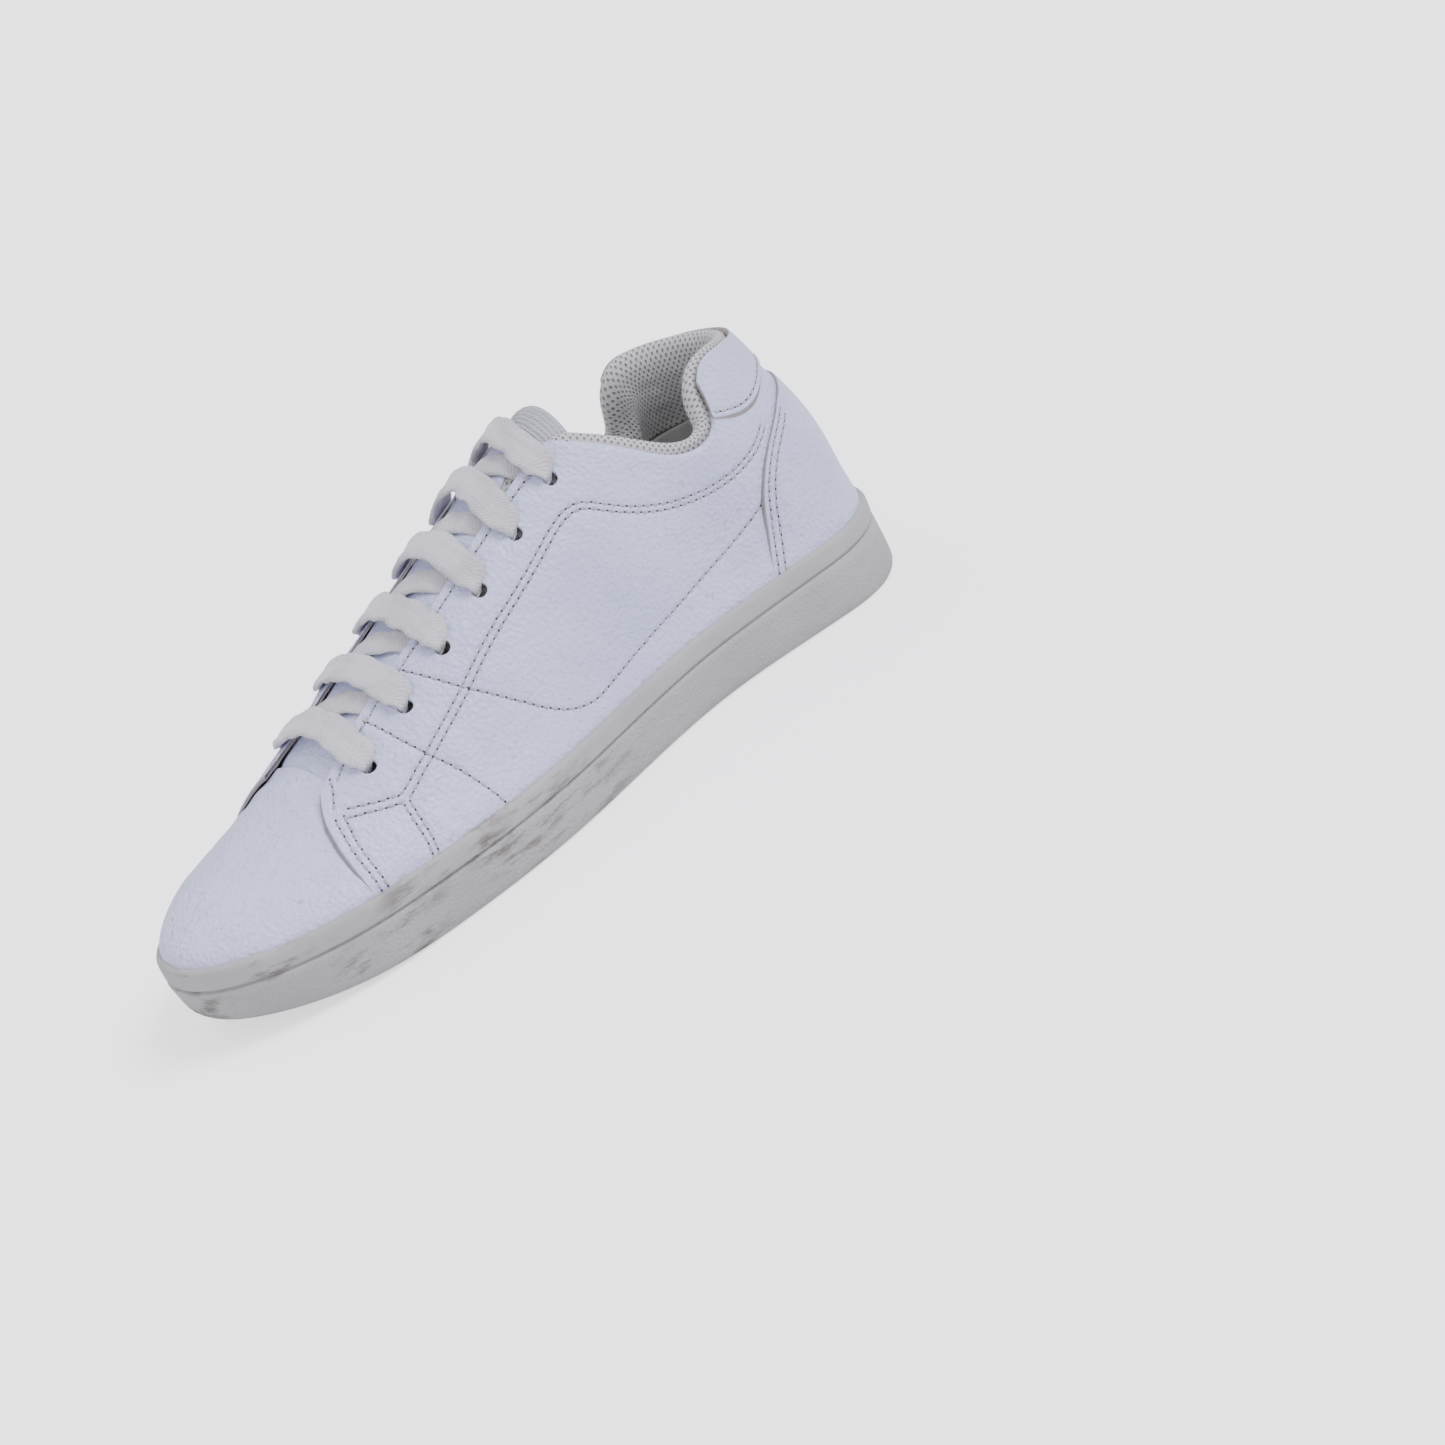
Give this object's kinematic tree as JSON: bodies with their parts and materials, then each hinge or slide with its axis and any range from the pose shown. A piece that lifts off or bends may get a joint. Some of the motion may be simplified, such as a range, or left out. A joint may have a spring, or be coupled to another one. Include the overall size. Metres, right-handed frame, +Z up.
{
  "type": "court shoe",
  "caption": "Low laced court shoe for the right foot with a rubber cup sole, padded mesh collar, overlaid leather upper, padded tongue and flat laces.",
  "frame": {"origin": "on the ground plane under the middle of the sole's length and width", "axes": "+Z up, +Y towards the heel, +X towards the inner (medial) side of the foot"},
  "size_m": [0.1027, 0.2802, 0.1036],
  "materials": {
    "leather": "fine pebble grain, satin",
    "rubber": "matte",
    "foam": "matte",
    "board": "matte",
    "stiffener": "matte",
    "lining": "woven",
    "mesh": "open mesh",
    "ribbon": "ribbed",
    "lace": "flat woven cotton"
  },
  "bodies": {
    "shoe": {"cup_outsole": "rubber", "midsole_foam": "foam", "lasting_board": "board", "toe_vamp": "leather", "toe_puff": "stiffener", "vamp_lining": "lining", "quarter_medial": "leather", "quarter_lateral": "leather", "eyelet_stay_medial": "stiffener", "eyelet_stay_lateral": "stiffener", "quarter_lining_medial": "lining", "quarter_lining_lateral": "lining", "collar_lining": "mesh", "collar_foam": "foam", "counter_stiffener": "stiffener", "heel_counter": "leather", "heel_tab": "leather", "lace": "lace"},
    "tongue": {"tongue_face": "leather", "tongue_foam": "foam", "tongue_lining": "lining", "tongue_binding": "mesh", "tongue_label": "ribbon"},
    "insole": {"insole_foam": "foam", "insole_cover": "lining"}
  },
  "joints": [
    {"name": "tongue_hinge", "type": "hinge", "parent": "shoe", "child": "tongue", "pos_m": [0.0015, -0.086, 0.0402], "axis": [-1, 0, 0], "range_deg": [0, 8]},
    {"name": "insole_lift", "type": "hinge", "parent": "shoe", "child": "insole", "pos_m": [0, -0.128, 0.0182], "axis": [1, 0, 0], "range_deg": [0, 4]}
  ]
}
